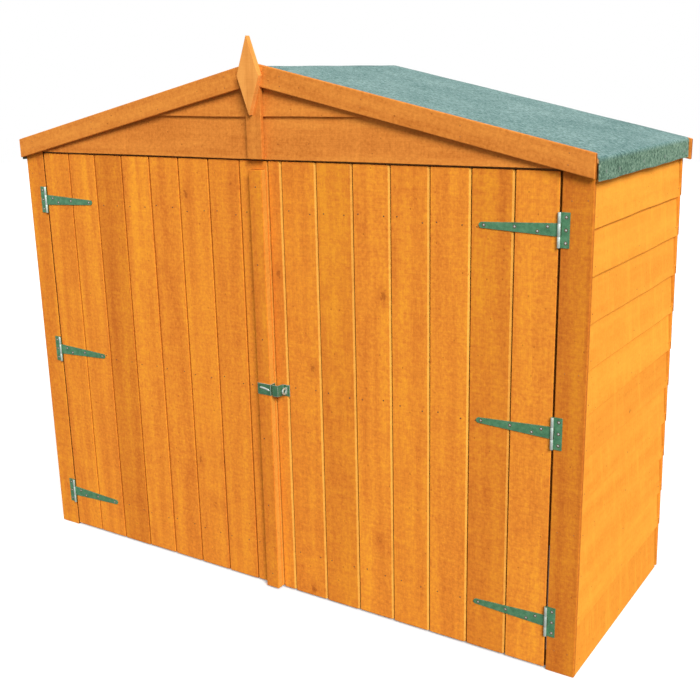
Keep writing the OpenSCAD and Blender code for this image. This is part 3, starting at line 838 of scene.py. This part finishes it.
# %% Felt sheet
def tube_faces(stations, count):
    """Quads of a closed line of points carried along stations."""
    index = np.arange(stations * count).reshape(stations, count)
    near, far = index[:-1], index[1:]
    return np.stack([near, far, np.roll(far, -1, 1), np.roll(near, -1, 1)], -1).reshape(-1, 4)


def outward_faces(points, faces):
    """Turns every quad round where the closed surface's signed volume is negative."""
    a, b, c, d = (points[faces[:, i]] for i in range(4))
    volume = np.sum(a * (np.cross(b, c) + np.cross(c, d)))
    return faces if volume > 0 else faces[:, ::-1]


count = ring.shape[1]
k = np.arange(count // 2 - 1)
cap = np.stack([k, k + 1, count - 2 - k, count - 1 - k], -1)
faces = np.concatenate([tube_faces(STATIONS, count), cap, cap[:, ::-1] + (STATIONS - 1) * count])
felt_mesh = bpy.data.meshes.new("felt_sheet")
felt_mesh.from_pydata(points.tolist(), [], outward_faces(points, faces).tolist())
hanging = np.tile(np.concatenate([hang, hang[::-1]]), STATIONS).astype(np.float32)
felt_mesh.attributes.new("hang", "FLOAT", "POINT").data.foreach_set("value", hanging)
felt_mesh.materials.append(granules("mineral_felt"))
smoothed(felt_mesh, degrees=40)
placed_piece(felt_mesh, "store", ("roof_felt",))
print("felt sheet", len(felt_mesh.polygons), "faces")

# %% [markdown]
# The hinges and the hasp are pressed steel with a green passivated coat. Rolled knuckles and cut edges are
# coloured bright zinc: partly wear, and partly a painted highlight, the white line down each hinge. So the
# green finish holds both colours, and a mask from Object coordinates says where the bright one shows.
# Rounded edges take the bright finish itself, as a painted highlight.

# %% Green coat on steel
COAT_METAL, WORN_AND_HIGHLIT_METAL, WORN_AND_HIGHLIT_COLOUR = 0.25, 0.35, (0.60, 0.70, 0.64, 1)


def coated_steel(name, bright_where=None, shade=1.0):
    """A green coat on zinc: mottled by noise and specked, with bright wear and painted highlight where a
    mask of place says so.
    """
    finish, tree, shader = new_finish(name)
    place = Wire.node(tree, "ShaderNodeTexCoord").output("Object")
    mottle = noise(tree, place, scale=70.0, detail=3.0, rough=0.6)
    speck = noise(tree, place, scale=480.0, detail=2.0, rough=0.6)
    tone = (mottle - 0.5) * 0.9 + (speck - 0.5) * 0.7 + 0.5
    greens = np.array([(0.042, 0.142, 0.070), (0.084, 0.248, 0.126), (0.155, 0.355, 0.200)]) * shade
    colour = ramp(tree, tone, *zip((0.2, 0.5, 0.8), greens.tolist()))
    rough = mottle * 0.25 + 0.26
    if bright_where:
        parts = Wire.node(tree, "ShaderNodeSeparateXYZ", None, {0: place})
        worn_and_highlit = bright_where(parts, parts.output("Y")) * speck.ease(0.28, 0.5, 0.75, 1.0)
        colour = blend(tree, worn_and_highlit, colour, WORN_AND_HIGHLIT_COLOUR)
        feed(tree, shader, Metallic=worn_and_highlit * WORN_AND_HIGHLIT_METAL + COAT_METAL)
    else:
        shader.inputs["Metallic"].default_value = COAT_METAL
    relief = bumped(tree, speck, strength=0.12, distance=0.0004)
    feed(tree, shader, Base_Color=colour, Roughness=rough, Normal=relief)
    return finish


# %% [markdown]
# Nails, screws and clouts are too small to show much, so one mottled metal serves them all, in four shades:
# dull zinc; bright zinc, which also paints highlights on the hinges' edges and the hasp's rib; rust, which
# also paints the shade in the screws' countersinks; and nails that took the dip.

# %% Metal of small fixings
def zinc(name, deep, middle, light, metal, rough):
    """Bare, rusted or dipped metal of small fixings, mottled."""
    finish, tree, shader = new_finish(name)
    place = Wire.node(tree, "ShaderNodeTexCoord").output("Object")
    mottle = noise(tree, place, scale=240.0, detail=3.0, rough=0.6)
    colour = ramp(tree, (mottle - 0.5) * 1.3 + 0.5, (0.2, deep), (0.5, middle), (0.8, light))
    shader.inputs["Metallic"].default_value = metal
    feed(tree, shader, Base_Color=colour, Roughness=mottle * 0.2 + rough)
    return finish


DULL_SHADES = (0.10, 0.13, 0.11), (0.17, 0.21, 0.18), (0.30, 0.35, 0.31)
BRIGHT_AND_HIGHLIGHT_SHADES = (0.42, 0.47, 0.44), (0.58, 0.64, 0.60), (0.76, 0.80, 0.77)
# The rust shades also paint the shade in the screws' countersinks.
RUST_AND_SINK_SHADES = (0.060, 0.025, 0.012), (0.12, 0.055, 0.025), (0.20, 0.100, 0.050)
DIP_SHADES = (0.34, 0.10, 0.014), (0.46, 0.145, 0.020), (0.58, 0.20, 0.028)
dull_zinc = zinc("dull_zinc", *DULL_SHADES, metal=0.4, rough=0.35)
bright_zinc_and_painted_highlight = zinc("bright_zinc_and_painted_highlight", *BRIGHT_AND_HIGHLIGHT_SHADES, metal=0.55, rough=0.22)
rusty_nail_and_painted_sink_shade = zinc("rusty_nail_and_painted_sink_shade", *RUST_AND_SINK_SHADES, metal=0.2, rough=0.5)
dipped_nail = zinc("dipped_nail", *DIP_SHADES, metal=0.0, rough=0.6)
print("fixings:", [metal.name for metal in (dull_zinc, bright_zinc_and_painted_highlight, rusty_nail_and_painted_sink_shade, dipped_nail)])

# %% [markdown]
# The hinges and the hasp keep their construction solids, because the shapes are there and only the finish
# is missing. Masks mark the knuckles, which stand out furthest, and the staple for the padlock.

# %% Hinges and hasp
KNUCKLE_CROWN, HASP_SHADE = front - 0.0052, 0.72
KNUCKLE_FADE, STAPLE_X, STAPLE_HALF, SIDE_FADE = 0.0008, 0.063, 0.0024, 0.0003
STAPLE_OUT, STAPLE_FOOT = front - 0.003, front - 0.0022


def on_knuckle(x, y):
    """One where a hinge's rolled knuckle stands out in front."""
    return y.ease(KNUCKLE_CROWN - KNUCKLE_FADE, KNUCKLE_CROWN, 1.0, 0.0)


def on_staple(x, y):
    """One between the staple's two sides, where it stands out in front."""
    first, last = STAPLE_X - STAPLE_HALF, STAPLE_X + STAPLE_HALF
    between = x.ease(first, first + SIDE_FADE) * x.ease(last - SIDE_FADE, last, 1.0, 0.0)
    return between * y.ease(STAPLE_OUT, STAPLE_FOOT, 1.0, 0.0)


# The knuckles' bright zinc is partly wear and partly a painted highlight.
knuckle_steel_worn_and_highlit = coated_steel("green_hinge_worn_and_painted_highlight", on_knuckle)
hasp_steel = coated_steel("green_hasp", None, HASP_SHADE)
staple_steel = coated_steel("green_keeper", on_staple, HASP_SHADE)
HINGE_PIECES = ("left_hinge_plates", "right_hinge_plates", "left_hinge_straps", "right_hinge_straps")
# Rounded edges of the hinges and hasp take bright zinc, a painted highlight.
for names, finish, size in ((HINGE_PIECES, knuckle_steel_worn_and_highlit, 0.0007), (("hasp",), hasp_steel, 0.0006),
                            (("hasp_keeper",), staple_steel, 0.0005)):
    for name in names:
        dress(node[name], finish, bright_zinc_and_painted_highlight)
        eased_edges(node[name], size, rim=1)
print("steel pieces dressed:", len(HINGE_PIECES) + 2)

# %% [markdown]
# The hasp is stiffened by a rib pressed along its middle, which catches the light; it is coloured bright
# zinc as a painted highlight. A bump would be flat from the side, so it is an oval, half sunk in the plate,
# carried along a slightly bowed path and tapering to nothing at both ends.

# %% Rib on the hasp
RIB_STATIONS, RIB_AROUND, RIB_PROUD, RIB_HALF = 25, 12, 0.0016, 0.0030
RIB_START, RIB_SHORTER, RIB_UP, RIB_BOW, RIB_TIP = 0.007, 0.011, 0.004, 0.006, 0.0004
(hx0, hy0, hz0), (hx1, _, hz1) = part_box("hasp")
share = np.linspace(0, 1, RIB_STATIONS)
across = hx0 + RIB_START + share * (hx1 - hx0 - RIB_SHORTER)
bowed = (hz0 + hz1) / 2 + RIB_UP - RIB_BOW * share ** 2
path = np.stack([across, np.full(RIB_STATIONS, hy0), bowed], -1)
swell = np.sqrt(np.clip(1 - (2 * share - 1) ** 6, RIB_TIP, 1))
angle = np.linspace(0, 2 * np.pi, RIB_AROUND, endpoint=False)
rib = np.stack([np.zeros(RIB_AROUND), -RIB_PROUD * np.cos(angle), RIB_HALF * np.sin(angle)], -1)
points = (path[:, None] + swell[:, None, None] * rib).reshape(-1, 3)
rib_mesh = bpy.data.meshes.new("hasp_rib")
faces = outward_faces(points, tube_faces(RIB_STATIONS, RIB_AROUND))
rib_mesh.from_pydata(points.tolist(), [], faces.tolist())
rib_mesh.materials.append(bright_zinc_and_painted_highlight)
smoothed(rib_mesh, degrees=60)
placed_piece(rib_mesh, "left_door")
print("hasp rib", len(rib_mesh.polygons), "faces")

# %% [markdown]
# Nails, screws and clouts are small turned heads. One head is a few rings of points, and adding an array of
# places copies it everywhere at once, so a hundred nails are still one piece. Each screw head lies on a
# wider dark disc, painted shade for its countersink. Nails in the bargeboards, corner boards and walls took
# the dip with the timber and hardly show.

# %% Heads of nails and screws
FORWARD = (0, -1, 0)
DOOR_NAIL, WALL_NAIL, TRIM_NAIL = (0.0018, 0.0006, 8), (0.0019, 0.0007, 8), (0.0020, 0.0006, 8)
SINK_SHADE, SCREW, CLOUT = (0.0042, 0.0003, 12), (0.0025, 0.0008, 10), (0.0045, 0.0010, 10)
ASKEW, SUNK = (0.31, 0.52, 0.79), 0.0004


def heads(name, places, facing, size, finish, body, spread=0.0):
    """Domed heads at many places, of a size that gives radius, height and points around: each ring is a
    share of the radius, lifted by the height times one minus eight tenths of the share squared, and the
    last ring is sunk a little so that no light passes under it."""
    radius, height, around = size
    shaken = dice.uniform(-spread, spread, (len(places), 3))
    places = np.asarray(places, float) + shaken * (np.asarray(facing) == 0)
    facing = np.asarray(facing, float) / np.linalg.norm(facing)
    first = np.cross(facing, ASKEW)
    first /= np.linalg.norm(first)
    share = np.array([0.4, 0.8, 1.0, 1.0])
    lift = np.append(height * (1 - 0.8 * share[:3] ** 2), -SUNK)
    angle = np.linspace(0, 2 * np.pi, around, endpoint=False)[:, None]
    circle = radius * (np.cos(angle) * first + np.sin(angle) * np.cross(facing, first))
    head = (share[:, None, None] * circle + lift[:, None, None] * facing).reshape(-1, 3)
    points = (places[:, None] + head).reshape(-1, 3)
    shift = len(head) * np.arange(len(places))
    quads = tube_faces(len(share), around)
    sense = np.cross(head[quads[0, 1]] - head[quads[0, 0]], head[quads[0, 3]] - head[quads[0, 0]])
    quads = quads if np.dot(sense, facing) > 0 else quads[:, ::-1]
    top, bottom = np.arange(around), np.arange(around)[::-1] + 3 * around
    faces = (quads + shift[:, None, None]).reshape(-1, 4).tolist()
    faces += (top + shift[:, None]).tolist() + (bottom + shift[:, None]).tolist()
    mesh = bpy.data.meshes.new(name)
    mesh.from_pydata(points.tolist(), [], faces)
    mesh.materials.append(finish)
    smoothed(mesh, degrees=50)
    print(name, len(places), "heads")
    placed_piece(mesh, body)


# %% [markdown]
# Each full board of a door has two nails at the height of every hinge, where the ledges are, and each hinge
# has three screws in its plate and four in its strap. The places could be typed in one by one. Here they
# follow the joints of the boards and the boxes of the hinges, and a little scatter makes the nails look
# hammered in by hand.

# %% Nails and screws on the doors
def hinge_heights(name):
    """Heights of a door's three hinges: its plates' outer ends less half a plate, and the middle one."""
    half_plate, lift = 0.040, 0.007
    low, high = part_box(name + "_hinge_plates")
    lowest, highest = low[2] + half_plate, high[2] - half_plate
    return [lowest, (lowest + highest) / 2 + lift, highest]


PIN, LEAF_FACE, NAIL_FACE, NARROWEST_NAILED = 0.8385, front - 0.0025, front - 0.0002, 0.05
PLATE_ROW, PLATE_STEPS = 0.0155, (-0.029, 0.0, 0.029)
STRAP_SCREWS = (0.028, 0.006), (0.052, -0.006), (0.108, 0.001), (0.185, 0.0)
for name, way, joints in (("left", -1, left_joints), ("right", 1, right_joints)):
    levels = hinge_heights(name)
    nailed = [(x0, x1) for x0, x1 in zip(joints[:-1], joints[1:]) if x1 - x0 > NARROWEST_NAILED]
    spots = [(x0 + share * (x1 - x0), NAIL_FACE, z) for x0, x1 in nailed
             for z in levels for share in (0.2, 0.8)]
    heads(name + "_door_nails", spots, FORWARD, DOOR_NAIL, rusty_nail_and_painted_sink_shade, name + "_door", spread=0.006)
    on_plate = [(way * (PIN + PLATE_ROW), LEAF_FACE, z + dz) for z in levels for dz in PLATE_STEPS]
    on_strap = [(way * (PIN - dx), LEAF_FACE, z + dz) for z in levels for dx, dz in STRAP_SCREWS]
    for label, places, body in (("plate", on_plate, "store"), ("strap", on_strap, name + "_door")):
        # A dark disc under each screw head: painted shade in its countersink.
        heads(f"{name}_{label}_painted_sink_shade", places, FORWARD, SINK_SHADE, rusty_nail_and_painted_sink_shade, body)
        heads(f"{name}_{label}_screws", places, FORWARD, SCREW, bright_zinc_and_painted_highlight, body)

# %% [markdown]
# Every overlap board of the sides is nailed to the front post, a stud and the back post, just above its
# lower edge. Large clouts hold the felt's drops, and the bargeboards and corner boards have nails in pairs.
# Few of them show in the photograph, so most of their places are what a joiner would choose.

# %% Nails in the walls and clouts in the felt
NAIL_IN, NAIL_UP, CLOUT_UP, CLOUT_MARGIN = 0.0018, 0.022, 0.016, 0.04
FRONT_NAIL, REAR_NAIL, CLOUTS = 0.016, 0.014, 8
wall_rows = rows_of_boards(0.0, FIRST_SHOW, under_peak - HALF * FALL)
nail_columns = (front_frame + FRONT_NAIL, (front_frame + back_frame) / 2, back_frame - REAR_NAIL)
clout_row = np.linspace(felt_front + CLOUT_MARGIN, felt_back - CLOUT_MARGIN, CLOUTS)
for name, way in (("left", -1), ("right", 1)):
    spots = [(way * (HALF - NAIL_IN), y, z0 + NAIL_UP) for z0, _ in wall_rows for y in nail_columns]
    heads(name + "_wall_nails", spots, (way, 0, 0), WALL_NAIL, dipped_nail, "store", spread=0.003)
    clouts = [(way * felt_skin, y, felt_low + CLOUT_UP) for y in clout_row]
    heads(name + "_clouts", clouts, (way, 0, 0), CLOUT, dull_zinc, "store", spread=0.004)

# %% Nails in the trim
BARGE_PAIRS, BARGE_DOWN = (0.09, 0.33, 0.60, 0.86), (0.016, 0.040)
CORNER_ACROSS, CORNER_UP = (0.862, 0.898), (0.06, 0.38, 0.78, 1.18)
STRIP_ACROSS, STRIP_UP = -0.004, (0.05, 0.26, 0.47, 0.76, 0.97, 1.17)
barge_face = float(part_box("front_left_bargeboard")[0][1])
barge_peak = felt_peak + UPSTAND
spots = [(way * x, barge_face, barge_peak - x * FALL - dz) for way in (-1, 1)
         for x in BARGE_PAIRS for dz in BARGE_DOWN]
heads("bargeboard_nails", spots, FORWARD, TRIM_NAIL, dipped_nail, "store", spread=0.003)
corner_spots = [(way * x, front, z) for way in (-1, 1) for x in CORNER_ACROSS
                for z in CORNER_UP]
heads("corner_board_nails", corner_spots, FORWARD, TRIM_NAIL, dipped_nail, "store", spread=0.004)
strip_face = float(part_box("cover_strip")[0][1])
strip_spots = [(STRIP_ACROSS, strip_face, z) for z in STRIP_UP]
heads("strip_nails", strip_spots, FORWARD, TRIM_NAIL, rusty_nail_and_painted_sink_shade, "left_door", spread=0.006)

# %% [markdown]
# Last, the scene's view layer is brought up to date.

# %% Finish
bpy.context.view_layer.update()
